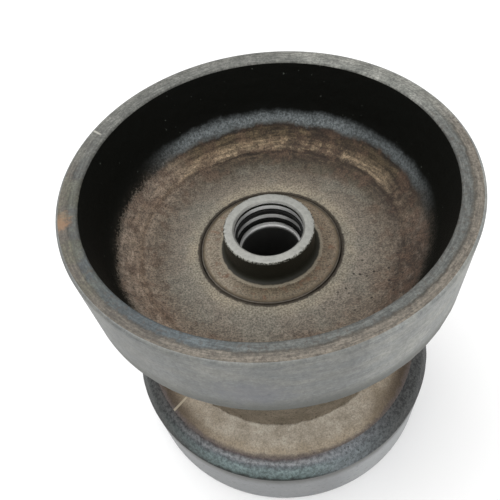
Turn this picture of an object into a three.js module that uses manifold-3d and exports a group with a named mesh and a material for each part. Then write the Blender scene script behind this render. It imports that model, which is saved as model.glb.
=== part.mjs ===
// Track roller for a rubber-tracked machine: a spool of two deep cup drums joined at the waist, with a
// pressed-in hub at each end. Each hub holds two seals, a thrust washer and a caged roller bearing, and
// an inner sleeve turns in the two bearings. The axle that the sleeve is clamped on isn't part of it.
//
// Millimetres. +Z runs along the roller's axis, and the origin is the centre of the lower rim plane.
// Every turned profile is a list of [radius, depth], where depth is measured inwards from the rim plane
// of its own end, so that one profile makes the piece at both ends.
import * as THREE from "three";
import { mergeVertices } from "three/addons/utils/BufferGeometryUtils.js";
import Module from "manifold-3d";

// Whole roller
const TREAD_RADIUS = 125;
const LENGTH = 250;
const FIT_GAP = 0.3;

// Drum: rim, tread, shoulder, web and its half of the waist
const RIM_BORE_RADIUS = 112;
const RIM_CHAMFER = 1.9;
const TREAD_WIDTH = 54;
const SHOULDER_ROUND = 13;
const BOWL_CENTRE_RADIUS = 65;
const BOWL_CENTRE_DEPTH = 22.5;
const BOWL_ARC_RADIUS = 43.8;
const WEB_DEPTH = BOWL_CENTRE_DEPTH + BOWL_ARC_RADIUS;
const WEB_BACK_DEPTH = 78;
const WAIST_RADIUS = 87.5;
const WAIST_BORE_RADIUS = 75;
const WAIST_FILLET = 8;
const FILLET_START_DEPTH = 73.5;
const WELD_GAP = 0.1;

// Hub: end tube, flange let into the web, and the barrel that holds the bearing
const HUB_FACE_DEPTH = 47.6;
const HUB_RADIUS = 30.5;
const HUB_FOOT_RADIUS = 34.5;
const HUB_CHAMFER = 1.2;
const FLANGE_RADIUS = 48;
const FLANGE_SEAT_RADIUS = 49.2;
const FLANGE_BACK_DEPTH = 72.3;
const BARREL_RADIUS = 39.7;
const BARREL_END_DEPTH = 97;
const O_RING_GROOVE = { floor: 37.4, from: 74, to: 77.2 };
const O_RING = { centre: 38.7, depth: 75.6, section: 1.1 };

// Mouth of the hub: clip groove, then the two seal grooves between their lands
const MOUTH_RADIUS = 23.1;
const CLIP_GROOVE = { floor: 24.8, from: 49.6, to: 51.4 };
const DUST_SEAL_GROOVE = { floor: 26.5, from: 55, to: 60.3 };
const OIL_SEAL_GROOVE = { floor: 26.5, from: 64, to: 68.8 };
const MOUTH_END_DEPTH = 69.4;

// Seal sections: lip radius, and the lip's thickness at its nose and root
const SEAL_LIP_RADIUS = 21.4;
const LIP_NOSE = 0.6;
const LIP_ROOT = 1.7;
const LIP_SETBACK = 0.8;
const SEAL_HEEL = 1.6;
const SEAL_LEG = 1;
const SPRING = { centre: 24.1, depth: 67.2, section: 0.7 };

// Bearing, from the sleeve outwards
const SLEEVE_BORE_RADIUS = 20.3;
const SLEEVE_RADIUS = 24;
const SLEEVE_END_DEPTH = 71.7;
const SLEEVE_CHAMFER = 0.5;
const GREASE_HOLE_RADIUS = 2.5;
const WASHER_BORE_RADIUS = 20.6;
const WASHER_THICKNESS = 1.7;
const ROLLER_COUNT = 12;
const ROLLER_RADIUS = 2.35;
const ROLLER_LENGTH = 16;
const PITCH_RADIUS = 26.45;
const RACE_RADIUS = 29.1;
const CUP_RADIUS = 31.2;
const CUP_LIP_RADIUS = 27.4;
const CUP_LENGTH = 22.3;
const CUP_LIP = 1;
const CAGE_INNER_RADIUS = 25.2;
const CAGE_OUTER_RADIUS = 27.8;
const CAGE_LENGTH = 19.5;
const POCKET_CLEARANCE = 0.15;
const BEARING_SEAT_RADIUS = CUP_RADIUS + FIT_GAP;
const CUP_START_DEPTH = MOUTH_END_DEPTH + FIT_GAP + WASHER_THICKNESS + FIT_GAP;
const BEARING_MIDDLE_DEPTH = CUP_START_DEPTH + CUP_LENGTH / 2;

// Facets round each kind of piece
const DRUM_FACETS = 48;
const HUB_FACETS = 28;
const RING_FACETS = 28;
const SECTION_FACETS = 6;
const ROLLER_FACETS = 8;
const ARC_STEPS = 4;

const FINISHES = {
  castIron: { color: 0x6f675c, roughness: 0.75, metalness: 0.5 },
  machinedSteel: { color: 0xb9b8b5, roughness: 0.3, metalness: 0.9 },
  bearingSteel: { color: 0xa8abb0, roughness: 0.2, metalness: 1 },
  brassCage: { color: 0xa9823f, roughness: 0.4, metalness: 0.9 },
  sealRubber: { color: 0x141414, roughness: 0.7, metalness: 0 },
};

const wasm = await Module();
wasm.setup();

// A closed mesh of three.js as a manifold solid.
function toSolid(geometry) {
  const bare = geometry.clone();
  bare.deleteAttribute("normal");
  bare.deleteAttribute("uv");
  const merged = mergeVertices(bare, 1e-4);
  return new wasm.Manifold(
    new wasm.Mesh({
      numProp: 3,
      vertProperties: new Float32Array(merged.attributes.position.array),
      triVerts: new Uint32Array(merged.index.array),
    }),
  );
}

// A manifold solid as a three.js geometry.
function toGeometry(solid) {
  const mesh = solid.getMesh();
  const geometry = new THREE.BufferGeometry();
  geometry.setAttribute("position", new THREE.BufferAttribute(mesh.vertProperties, 3));
  geometry.setIndex(new THREE.BufferAttribute(mesh.triVerts, 1));
  geometry.computeVertexNormals();
  return geometry;
}

// The points of an arc between two angles in degrees, measured from the radius direction towards depth.
function arc(centreRadius, centreDepth, size, fromAngle, toAngle) {
  return Array.from({ length: ARC_STEPS + 1 }, (_, i) => {
    const angle = THREE.MathUtils.degToRad(fromAngle + ((toAngle - fromAngle) * i) / ARC_STEPS);
    return [centreRadius + size * Math.cos(angle), centreDepth + size * Math.sin(angle)];
  });
}

// Height above the lower rim of a depth measured from the rim of the upper or the lower end.
function heightAt(end, depth) {
  return end === "upper" ? LENGTH - depth : depth;
}

// Turns a closed profile about the roller's axis. The profile runs inwards along its outer side.
function turned(end, profile, facets) {
  const closed = [...profile, profile[0]];
  const points = closed.map(([radius, depth]) => new THREE.Vector2(radius, heightAt(end, depth)));
  if (end === "upper") points.reverse();
  return new THREE.LatheGeometry(points, facets).rotateX(Math.PI / 2);
}

// The steps of a ring groove cut outwards from a bore, going from its inner side to the mouth.
function grooveInBore(groove, boreRadius) {
  return [
    [boreRadius, groove.to],
    [groove.floor, groove.to],
    [groove.floor, groove.from],
    [boreRadius, groove.from],
  ];
}

function drum(end) {
  const middle = LENGTH / 2 - WELD_GAP / 2;
  const profile = [
    [TREAD_RADIUS - RIM_CHAMFER, 0],
    [TREAD_RADIUS, RIM_CHAMFER],
    ...arc(TREAD_RADIUS - SHOULDER_ROUND, TREAD_WIDTH, SHOULDER_ROUND, 0, 90),
    ...arc(WAIST_RADIUS + WAIST_FILLET, FILLET_START_DEPTH + WAIST_FILLET, WAIST_FILLET, -90, -180),
    [WAIST_RADIUS, middle],
    [WAIST_BORE_RADIUS, middle],
    [WAIST_BORE_RADIUS, WEB_BACK_DEPTH],
    [BARREL_RADIUS + FIT_GAP, WEB_BACK_DEPTH],
    [BARREL_RADIUS + FIT_GAP, FLANGE_BACK_DEPTH + FIT_GAP],
    [FLANGE_SEAT_RADIUS, FLANGE_BACK_DEPTH + FIT_GAP],
    [FLANGE_SEAT_RADIUS, WEB_DEPTH],
    ...arc(BOWL_CENTRE_RADIUS, BOWL_CENTRE_DEPTH, BOWL_ARC_RADIUS, 90, 0),
    [RIM_BORE_RADIUS, RIM_CHAMFER],
    [RIM_BORE_RADIUS + RIM_CHAMFER, 0],
  ];
  return turned(end, profile, DRUM_FACETS);
}

function hub(end) {
  const profile = [
    [HUB_RADIUS - HUB_CHAMFER, HUB_FACE_DEPTH],
    [HUB_RADIUS, HUB_FACE_DEPTH + HUB_CHAMFER],
    [HUB_RADIUS, WEB_DEPTH - (HUB_FOOT_RADIUS - HUB_RADIUS)],
    [HUB_FOOT_RADIUS, WEB_DEPTH],
    [FLANGE_RADIUS, WEB_DEPTH],
    [FLANGE_RADIUS, FLANGE_BACK_DEPTH],
    [BARREL_RADIUS, FLANGE_BACK_DEPTH],
    [BARREL_RADIUS, O_RING_GROOVE.from],
    [O_RING_GROOVE.floor, O_RING_GROOVE.from],
    [O_RING_GROOVE.floor, O_RING_GROOVE.to],
    [BARREL_RADIUS, O_RING_GROOVE.to],
    [BARREL_RADIUS, BARREL_END_DEPTH],
    [BEARING_SEAT_RADIUS, BARREL_END_DEPTH],
    [BEARING_SEAT_RADIUS, MOUTH_END_DEPTH],
    [MOUTH_RADIUS, MOUTH_END_DEPTH],
    ...grooveInBore(OIL_SEAL_GROOVE, MOUTH_RADIUS),
    ...grooveInBore(DUST_SEAL_GROOVE, MOUTH_RADIUS),
    ...grooveInBore(CLIP_GROOVE, MOUTH_RADIUS),
    [MOUTH_RADIUS, HUB_FACE_DEPTH + HUB_CHAMFER],
    [MOUTH_RADIUS + HUB_CHAMFER, HUB_FACE_DEPTH],
  ];
  return turned(end, profile, HUB_FACETS);
}

// Wiper ring that fills its groove, with a lip leaning towards the mouth.
function dustSeal(end) {
  const back = DUST_SEAL_GROOVE.floor - FIT_GAP;
  const front = DUST_SEAL_GROOVE.from + FIT_GAP;
  const rear = DUST_SEAL_GROOVE.to - FIT_GAP;
  const profile = [
    [back, front],
    [back, rear],
    [SEAL_LIP_RADIUS + LIP_ROOT, rear],
    [SEAL_LIP_RADIUS, front + LIP_SETBACK],
    [SEAL_LIP_RADIUS + LIP_NOSE, front],
  ];
  return turned(end, profile, RING_FACETS);
}

// U-shaped oil seal: a heel, an outer leg in the groove and an inner leg that ends in the lip.
function oilSeal(end) {
  const back = OIL_SEAL_GROOVE.floor - FIT_GAP;
  const heel = OIL_SEAL_GROOVE.from + FIT_GAP;
  const rear = OIL_SEAL_GROOVE.to - FIT_GAP;
  const channel = heel + SEAL_HEEL;
  const profile = [
    [back, heel],
    [back, rear],
    [back - SEAL_LEG, rear],
    [back - SEAL_LEG, channel],
    [SEAL_LIP_RADIUS + LIP_ROOT, channel],
    [SEAL_LIP_RADIUS + LIP_ROOT, rear - LIP_SETBACK],
    [SEAL_LIP_RADIUS, rear - 2 * LIP_SETBACK],
    [SEAL_LIP_RADIUS + LIP_NOSE, heel],
  ];
  return turned(end, profile, RING_FACETS);
}

// A ring of round section, such as a garter spring or an O-ring.
function roundRing(end, ring) {
  const section = Array.from({ length: SECTION_FACETS }, (_, i) => {
    const angle = (i / SECTION_FACETS) * 2 * Math.PI;
    return [ring.centre + ring.section * Math.cos(angle), ring.depth + ring.section * Math.sin(angle)];
  });
  return turned(end, section, RING_FACETS);
}

// A plain flat ring.
function flatRing(end, innerRadius, outerRadius, fromDepth, toDepth) {
  const profile = [
    [outerRadius, fromDepth],
    [outerRadius, toDepth],
    [innerRadius, toDepth],
    [innerRadius, fromDepth],
  ];
  return turned(end, profile, RING_FACETS);
}

function thrustWasher(end) {
  const from = MOUTH_END_DEPTH + FIT_GAP;
  return flatRing(end, WASHER_BORE_RADIUS, CUP_RADIUS, from, from + WASHER_THICKNESS);
}

// Outer ring of the bearing, with a lip at each end that keeps the cage in.
function bearingCup(end) {
  const from = CUP_START_DEPTH;
  const to = CUP_START_DEPTH + CUP_LENGTH;
  const profile = [
    [CUP_RADIUS, from],
    [CUP_RADIUS, to],
    [CUP_LIP_RADIUS, to],
    [CUP_LIP_RADIUS, to - CUP_LIP],
    [RACE_RADIUS, to - CUP_LIP],
    [RACE_RADIUS, from + CUP_LIP],
    [CUP_LIP_RADIUS, from + CUP_LIP],
    [CUP_LIP_RADIUS, from],
  ];
  return turned(end, profile, RING_FACETS);
}

function rollerAngle(index) {
  return (index / ROLLER_COUNT) * 2 * Math.PI;
}

// Ring with one pocket for each roller.
function rollerCage(end) {
  const from = BEARING_MIDDLE_DEPTH - CAGE_LENGTH / 2;
  const ring = flatRing(end, CAGE_INNER_RADIUS, CAGE_OUTER_RADIUS, from, from + CAGE_LENGTH);
  let cage = toSolid(ring);
  const width = 2 * (ROLLER_RADIUS + POCKET_CLEARANCE);
  const height = ROLLER_LENGTH + 2 * FIT_GAP;
  for (let i = 0; i < ROLLER_COUNT; i += 1) {
    const pocket = new THREE.BoxGeometry(PITCH_RADIUS / 2, width, height);
    pocket.translate(PITCH_RADIUS, 0, heightAt(end, BEARING_MIDDLE_DEPTH));
    pocket.rotateZ(rollerAngle(i));
    cage = cage.subtract(toSolid(pocket));
  }
  return toGeometry(cage);
}

function roller() {
  return new THREE.CylinderGeometry(ROLLER_RADIUS, ROLLER_RADIUS, ROLLER_LENGTH, ROLLER_FACETS)
    .rotateX(Math.PI / 2);
}

// Tube that turns in both bearings, with a pair of grease holes at mid-length.
function innerSleeve() {
  const profile = [
    [SLEEVE_RADIUS - SLEEVE_CHAMFER, SLEEVE_END_DEPTH],
    [SLEEVE_RADIUS, SLEEVE_END_DEPTH + SLEEVE_CHAMFER],
    [SLEEVE_RADIUS, LENGTH - SLEEVE_END_DEPTH - SLEEVE_CHAMFER],
    [SLEEVE_RADIUS - SLEEVE_CHAMFER, LENGTH - SLEEVE_END_DEPTH],
    [SLEEVE_BORE_RADIUS, LENGTH - SLEEVE_END_DEPTH],
    [SLEEVE_BORE_RADIUS, SLEEVE_END_DEPTH],
  ];
  const tube = toSolid(turned("lower", profile, RING_FACETS));
  const hole = new THREE.CylinderGeometry(
    GREASE_HOLE_RADIUS,
    GREASE_HOLE_RADIUS,
    3 * SLEEVE_RADIUS,
    ROLLER_FACETS,
  );
  hole.translate(0, 0, LENGTH / 2);
  return toGeometry(tube.subtract(toSolid(hole)));
}

function piece(name, geometry, finish) {
  const material = new THREE.MeshStandardMaterial(FINISHES[finish]);
  const mesh = new THREE.Mesh(geometry, material);
  mesh.name = name;
  return mesh;
}

// The rollers stand in the cage's pockets, parallel to the roller's axis.
function rollerSet(end) {
  const set = new THREE.Group();
  for (let i = 0; i < ROLLER_COUNT; i += 1) {
    const number = String(i + 1).padStart(2, "0");
    const one = piece(`${end}_roller_${number}`, roller(), "bearingSteel");
    const angle = rollerAngle(i);
    one.position.set(
      PITCH_RADIUS * Math.cos(angle),
      PITCH_RADIUS * Math.sin(angle),
      heightAt(end, BEARING_MIDDLE_DEPTH),
    );
    set.add(one);
  }
  return set;
}

function endAssembly(end) {
  const group = new THREE.Group();
  group.add(piece(`${end}_drum`, drum(end), "castIron"));
  group.add(piece(`${end}_hub`, hub(end), "machinedSteel"));
  group.add(piece(`${end}_hub_o_ring`, roundRing(end, O_RING), "sealRubber"));
  group.add(piece(`${end}_dust_seal`, dustSeal(end), "sealRubber"));
  group.add(piece(`${end}_oil_seal`, oilSeal(end), "sealRubber"));
  group.add(piece(`${end}_seal_spring`, roundRing(end, SPRING), "machinedSteel"));
  group.add(piece(`${end}_thrust_washer`, thrustWasher(end), "machinedSteel"));
  group.add(piece(`${end}_bearing_cup`, bearingCup(end), "bearingSteel"));
  group.add(piece(`${end}_roller_cage`, rollerCage(end), "brassCage"));
  group.add(rollerSet(end));
  return group;
}

const trackRoller = new THREE.Group();
trackRoller.add(endAssembly("upper"));
trackRoller.add(endAssembly("lower"));
trackRoller.add(piece("inner_sleeve", innerSleeve(), "machinedSteel"));

export default trackRoller;
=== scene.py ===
"""Track roller: a cast spool of two deep cup drums, with a machined hub, seals and a bearing in each end.

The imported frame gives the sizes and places. Every profile is a list of corners (radius, depth, round,
finish), where depth is measured inwards from the rim plane of its own end, and a corner's finish covers
its own round and the run after it. One profile makes the piece at both ends.
"""

import math

import bmesh
import bpy
import numpy as np
from mathutils import Matrix, Vector, noise


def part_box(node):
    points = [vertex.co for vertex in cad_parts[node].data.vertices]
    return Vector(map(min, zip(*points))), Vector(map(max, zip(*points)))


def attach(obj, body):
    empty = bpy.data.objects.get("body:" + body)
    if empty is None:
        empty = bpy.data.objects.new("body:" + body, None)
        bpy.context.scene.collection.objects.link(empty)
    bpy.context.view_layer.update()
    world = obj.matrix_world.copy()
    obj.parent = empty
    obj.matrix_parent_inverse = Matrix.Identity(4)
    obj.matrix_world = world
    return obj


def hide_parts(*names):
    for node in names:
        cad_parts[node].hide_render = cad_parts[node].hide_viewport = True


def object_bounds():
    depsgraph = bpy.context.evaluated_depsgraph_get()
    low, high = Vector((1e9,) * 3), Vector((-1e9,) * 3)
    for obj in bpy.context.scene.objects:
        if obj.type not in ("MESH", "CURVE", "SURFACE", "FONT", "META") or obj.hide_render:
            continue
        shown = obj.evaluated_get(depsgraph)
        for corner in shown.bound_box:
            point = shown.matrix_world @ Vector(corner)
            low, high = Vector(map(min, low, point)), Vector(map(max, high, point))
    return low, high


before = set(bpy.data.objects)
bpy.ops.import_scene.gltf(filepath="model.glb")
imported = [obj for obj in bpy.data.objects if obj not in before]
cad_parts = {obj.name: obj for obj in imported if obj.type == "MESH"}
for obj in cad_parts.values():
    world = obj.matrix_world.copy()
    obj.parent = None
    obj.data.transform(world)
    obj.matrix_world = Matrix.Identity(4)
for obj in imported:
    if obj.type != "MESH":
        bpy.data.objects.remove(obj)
cad_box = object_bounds()

MM = 0.001
ENDS = ("upper", "lower")


def size_of(node):
    """Where a turned node starts and ends along the axis, and its outer radius."""
    low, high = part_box(node)
    return low.z, high.z, high.x


# Sizes read from the frame, in metres
ROLLER_LENGTH = cad_box[1].z - cad_box[0].z
_, DRUM_DEPTH, TREAD_RADIUS = size_of("lower_drum")
HUB_FACE, HUB_END, FLANGE_RADIUS = size_of("lower_hub")
SLEEVE_START, SLEEVE_END, SLEEVE_RADIUS = size_of("inner_sleeve")
WASHER_FACE, WASHER_BACK, WASHER_RADIUS = size_of("lower_thrust_washer")
CUP_START, CUP_END, CUP_RADIUS = size_of("lower_bearing_cup")
DUST_SEAL_FACE, DUST_SEAL_BACK, _ = size_of("lower_dust_seal")
OIL_SEAL_FACE, OIL_SEAL_BACK, SEAL_RADIUS = size_of("lower_oil_seal")

# Drum shape
RIM_WALL = 12.9 * MM
RIM_ROUND = 1.7 * MM
TREAD_END = 54 * MM
SHOULDER_ROUND = 9 * MM
SHOULDER_CORNER = (120.6 * MM, 61.8 * MM)
WEB_BACK_RADIUS = 112 * MM
WEB_BACK_DEPTH = 66.9 * MM
BACK_SLOPE = 0.394
WAIST_RADIUS = 87.5 * MM
WAIST_BORE = 75 * MM
WAIST_FILLET = 2.5 * MM
BEAD_WIDTH = 5 * MM
BEAD_RISE = 1.5 * MM
INNER_WEB_DEPTH = 78 * MM
WEB_DEPTH = 66.3 * MM
BOWL_ROUND = 43.8 * MM
WALL_DRAFT = 0.147
FLANGE_SEAT = FLANGE_RADIUS + 0.8 * MM
FLANGE_BACK = 72.3 * MM
BARREL_SEAT = 40 * MM

# Hub shape
HUB_RADIUS = 30.5 * MM
HUB_FOOT_ROUND = 3.6 * MM
BARREL_RADIUS = 39.7 * MM
BEARING_SEAT = 31.5 * MM
MOUTH_RADIUS = 23.1 * MM
MOUTH_CHAMFER = 1.2 * MM
MOUTH_END = 69.4 * MM
CLIP_GROOVE = (49.6 * MM, 51.4 * MM, 24.8 * MM)
DUST_GROOVE = (55.0 * MM, 60.3 * MM, 26.5 * MM)
OIL_GROOVE = (64.0 * MM, 68.8 * MM, 26.5 * MM)
WASHER_BORE = 20.6 * MM
SLEEVE_BORE = 20.3 * MM

# Seal sections: lip radius, the lip's thickness at its nose and root, the oil seal's heel and leg
LIP_RADIUS = 21.4 * MM
LIP_NOSE = 0.6 * MM
LIP_ROOT = 1.7 * MM
LIP_SETBACK = 0.8 * MM
SEAL_HEEL = 1.6 * MM
SEAL_LEG = 1 * MM

# Bearing and spring shape
RACE_RADIUS = 29.1 * MM
CUP_LIP_RADIUS = 27.4 * MM
CUP_LIP = 1 * MM
ROLLERS = 12
ROLLER_RADIUS = 2.35 * MM
ROLLER_END_ROUND = 0.7 * MM
CAGE_BORE = 25.2 * MM
POCKET_HALF_WIDTH = 2.5 * MM
POCKET_HALF_HEIGHT = 8.3 * MM
GREASE_HOLE_RADIUS = 2.5 * MM
SPRING_COILS = 380
POINTS_PER_COIL = 9
SPRING_WIRE = 0.16 * MM

# How finely each finish is meshed along its profile, in metres
RUN_STEP = {
    "tread": 3.5 * MM,
    "rim": 1.6 * MM,
    "shoulder": 1.2 * MM,
    "web_back": 1.6 * MM,
    "bowl": 0.9 * MM,
    "bead": 0.6 * MM,
    "hidden": 9 * MM,
}
FINE_STEP = 1.2 * MM
DRUM_STEPS = 384
HUB_STEPS = 360
RING_STEPS = 192


def placed(name, data):
    """A new object in the scene, unturned at the origin."""
    piece = bpy.data.objects.new(name, data)
    bpy.context.scene.collection.objects.link(piece)
    return piece


# ---- profiles

def rounded(corners):
    """The closed outline through the corners with their rounds, and the finish after each point."""
    outline, finishes = [], []
    count = len(corners)
    ends = []
    for i, (radius, depth, size, finish) in enumerate(corners):
        here = np.array((radius, depth))
        before = np.array(corners[i - 1][:2]) - here
        after = np.array(corners[(i + 1) % count][:2]) - here
        before /= np.linalg.norm(before)
        after /= np.linalg.norm(after)
        if size <= 0:
            ends.append([here])
            continue
        half = math.acos(max(-1.0, min(1.0, float(before @ after)))) / 2
        reach = size / math.tan(half)
        middle = (before + after) / np.linalg.norm(before + after)
        centre = here + middle * (size / math.sin(half))
        start, stop = here + before * reach, here + after * reach
        steps = max(3, math.ceil((math.pi - 2 * half) * size / RUN_STEP.get(finish, FINE_STEP)))
        first = math.atan2(*(start - centre)[::-1])
        turn = math.atan2(*(stop - centre)[::-1]) - first
        turn = (turn + math.pi) % (2 * math.pi) - math.pi
        angles = [first + turn * k / steps for k in range(steps + 1)]
        ends.append([centre + size * np.array((math.cos(a), math.sin(a))) for a in angles])
    for i, points in enumerate(ends):
        finish = corners[i][3]
        outline += points
        finishes += [finish] * len(points)
        gap = ends[(i + 1) % count][0] - points[-1]
        pieces = max(1, math.ceil(np.linalg.norm(gap) / RUN_STEP.get(finish, FINE_STEP)))
        for k in range(1, pieces):
            outline.append(points[-1] + gap * k / pieces)
            finishes.append(finish)
    return np.array(outline), finishes


def height_at(end, depth):
    return ROLLER_LENGTH - depth if end == "upper" else depth


def turned(name, end, corners, steps, relief=None):
    """Turns a closed profile about the axis. relief gives each point's height off the profile."""
    outline, finishes = rounded(corners)
    tangent = np.roll(outline, -1, 0) - np.roll(outline, 1, 0)
    outward = np.stack((tangent[:, 1], -tangent[:, 0]), 1)
    outward /= np.linalg.norm(outward, axis=1)[:, None]
    angle = np.linspace(0, 2 * math.pi, steps, endpoint=False)
    across = np.stack((np.cos(angle), np.sin(angle)), 1)
    side = -1 if end == "upper" else 1
    points = np.empty((steps, len(outline), 3))
    normals = np.empty_like(points)
    points[..., :2] = across[:, None, :] * outline[None, :, :1]
    points[..., 2] = height_at(end, outline[:, 1])
    normals[..., :2] = across[:, None, :] * outward[None, :, :1]
    normals[..., 2] = side * outward[:, 1]
    ridge = np.zeros(points.shape[:2])
    if relief:
        height, ridge = relief(points, outline, finishes)
        points += normals * height[..., None]
        over = np.maximum(np.linalg.norm(points[..., :2], axis=-1) / TREAD_RADIUS, 1)
        points[..., :2] /= over[..., None]
        points[..., 2] = np.clip(points[..., 2], 0, ROLLER_LENGTH)
    count = len(outline)
    ring = np.arange(steps)[:, None] * count
    ahead = (np.roll(np.arange(steps), -1) * count)[:, None]
    now, after = np.arange(count)[None, :], np.roll(np.arange(count), -1)[None, :]
    faces = np.stack((ring + now, ahead + now, ahead + after, ring + after), -1)
    if end == "upper":
        faces = faces[..., ::-1]
    mesh = bpy.data.meshes.new(name)
    mesh.from_pydata(points.reshape(-1, 3).tolist(), [], faces.reshape(-1, 4).tolist())
    names = list(dict.fromkeys(finishes))
    for finish in names:
        mesh.materials.append(FINISHES[finish])
    mesh.polygons.foreach_set("material_index", np.tile([names.index(f) for f in finishes], steps))
    mesh.polygons.foreach_set("use_smooth", np.ones(len(mesh.polygons), bool))
    mesh.attributes.new("ridge", "FLOAT", "POINT").data.foreach_set("value", ridge.ravel())
    mesh.update()
    return placed(name, mesh)


# ---- materials

class Finish:
    """One procedural material, with lengths in millimetres on the roller's own axes."""

    def __init__(self, name, roughness=0.5, metallic=0.0, specular=0.5):
        self.material = bpy.data.materials.new(name)
        self.material.use_nodes = True
        self.tree = self.material.node_tree
        self.tree.nodes.clear()
        self.shader = self.tree.nodes.new("ShaderNodeBsdfPrincipled")
        output = self.tree.nodes.new("ShaderNodeOutputMaterial")
        self.tree.links.new(self.shader.outputs[0], output.inputs["Surface"])
        self.shader.inputs["Roughness"].default_value = roughness
        self.shader.inputs["Metallic"].default_value = metallic
        self.shader.inputs["Specular IOR Level"].default_value = specular
        coordinates = self.tree.nodes.new("ShaderNodeTexCoord")
        self.place = self.vector("SCALE", coordinates.outputs["Object"], scale=1 / MM)
        split = self.tree.nodes.new("ShaderNodeSeparateXYZ")
        self.tree.links.new(self.place, split.inputs[0])
        self.x, self.y, self.z = split.outputs

    def put(self, socket, value):
        if isinstance(value, bpy.types.NodeSocket):
            self.tree.links.new(value, socket)
        elif value is not None:
            socket.default_value = value

    def node(self, kind, *values):
        """A new node with the values put into its inputs in order."""
        made = self.tree.nodes.new(kind)
        for socket, value in zip(made.inputs, values):
            self.put(socket, value)
        return made

    def vector(self, operation, a, b=None, scale=None):
        made = self.node("ShaderNodeVectorMath", a, b)
        made.operation = operation
        if operation == "SCALE":
            self.put(made.inputs["Scale"], scale)
        return made.outputs["Value" if operation in ("LENGTH", "DISTANCE") else "Vector"]

    def math(self, operation, a, b=None):
        made = self.node("ShaderNodeMath", a, b)
        made.operation = operation
        return made.outputs[0]

    def times(self, a, b):
        return self.math("MULTIPLY", a, b)

    def plus(self, a, b):
        return self.math("ADD", a, b)

    def radius(self):
        """Distance from the axis."""
        return self.vector("LENGTH", self.vector("MULTIPLY", self.place, (1, 1, 0)))

    def depth(self):
        """Depth below the nearer rim plane."""
        half = ROLLER_LENGTH / 2 / MM
        return self.math("SUBTRACT", half, self.math("ABSOLUTE", self.math("SUBTRACT", self.z, half)))

    def azimuth(self):
        """Angle about the axis in radians, with no step except on the far side."""
        return self.math("ARCTAN2", self.x, self.times(self.y, -1))

    def joined(self, a, b, c):
        return self.node("ShaderNodeCombineXYZ", a, b, c).outputs[0]

    def noise(self, size, detail=3.0, roughness=0.55, place=None):
        node = self.node("ShaderNodeTexNoise", self.place if place is None else place)
        node.inputs["Scale"].default_value = 1 / size
        node.inputs["Detail"].default_value = detail
        node.inputs["Roughness"].default_value = roughness
        return node.outputs["Fac"]

    def cells(self, size):
        node = self.node("ShaderNodeTexVoronoi", self.place)
        node.inputs["Scale"].default_value = 1 / size
        return node.outputs["Distance"]

    def spread(self, value, low, high, to_low=0.0, to_high=1.0):
        """A smooth step from low to high, or down from low to high where low is the larger."""
        node = self.node("ShaderNodeMapRange", value, low, high, to_low, to_high)
        node.interpolation_type = "SMOOTHSTEP"
        return node.outputs[0]

    def ramp(self, value, stops):
        """stops are (position, colour) in order, with positions in the value's own unit."""
        low, high = stops[0][0], stops[-1][0]
        unit = self.node("ShaderNodeMapRange", value, low, high)
        node = self.node("ShaderNodeValToRGB", unit.outputs[0])
        elements = node.color_ramp.elements
        while len(elements) < len(stops):
            elements.new(1.0)
        for element, (position, colour) in zip(elements, stops):
            element.position = (position - low) / (high - low)
            element.color = (*colour, 1)
        return node.outputs[0]

    def painted(self, value, *stops):
        """A ramp whose stops are (position, red, green, blue), with the colours as display values."""
        return self.ramp(value, [(position, paint(*colour)) for position, *colour in stops])

    def mix(self, factor, a, b, blend="MIX"):
        node = self.tree.nodes.new("ShaderNodeMix")
        node.data_type = "RGBA"
        node.blend_type = blend
        self.put(node.inputs[0], factor)
        self.put(node.inputs[6], (*a, 1) if isinstance(a, tuple) else a)
        self.put(node.inputs[7], (*b, 1) if isinstance(b, tuple) else b)
        return node.outputs[2]

    def grained(self, base, size, low, high):
        """The colour made darker and lighter by a fine grain."""
        grain = self.spread(self.noise(size, 4, 0.7), 0.34, 0.66, low, high)
        return self.mix(1.0, base, grain, "MULTIPLY")

    def tint(self, base, mask, amount, colour):
        """The colour taken part of the way to another one where the mask is 1."""
        return self.mix(self.times(mask, amount), base, colour)

    def shade(self, base, mask, level):
        """The colour multiplied by a level where the mask is 1."""
        return self.mix(1.0, base, self.spread(mask, 0, 1, 1, level), "MULTIPLY")

    def layer(self, name):
        node = self.tree.nodes.new("ShaderNodeAttribute")
        node.attribute_name = name
        return node.outputs["Fac"]

    def centred(self, size, amount, detail=4, roughness=0.65):
        """Noise about zero, up to half the amount each way."""
        return self.times(self.math("SUBTRACT", self.noise(size, detail, roughness), 0.5), amount)

    def bump(self, height, distance, strength=1.0):
        node = self.tree.nodes.new("ShaderNodeBump")
        node.inputs["Strength"].default_value = strength
        node.inputs["Distance"].default_value = distance * MM
        self.put(node.inputs["Height"], height)
        self.put(self.shader.inputs["Normal"], node.outputs[0])

    def set(self, **values):
        names = {"color": "Base Color", "roughness": "Roughness", "metallic": "Metallic"}
        for key, value in values.items():
            self.put(self.shader.inputs[names[key]], (*value, 1) if isinstance(value, tuple) else value)
        return self.material


def paint(red, green, blue):
    """A colour given as 0-255 display values."""
    return tuple(((c / 255 + 0.055) / 1.055) ** 2.4 if c > 10 else c / 3294.6 for c in (red, green, blue))


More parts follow.
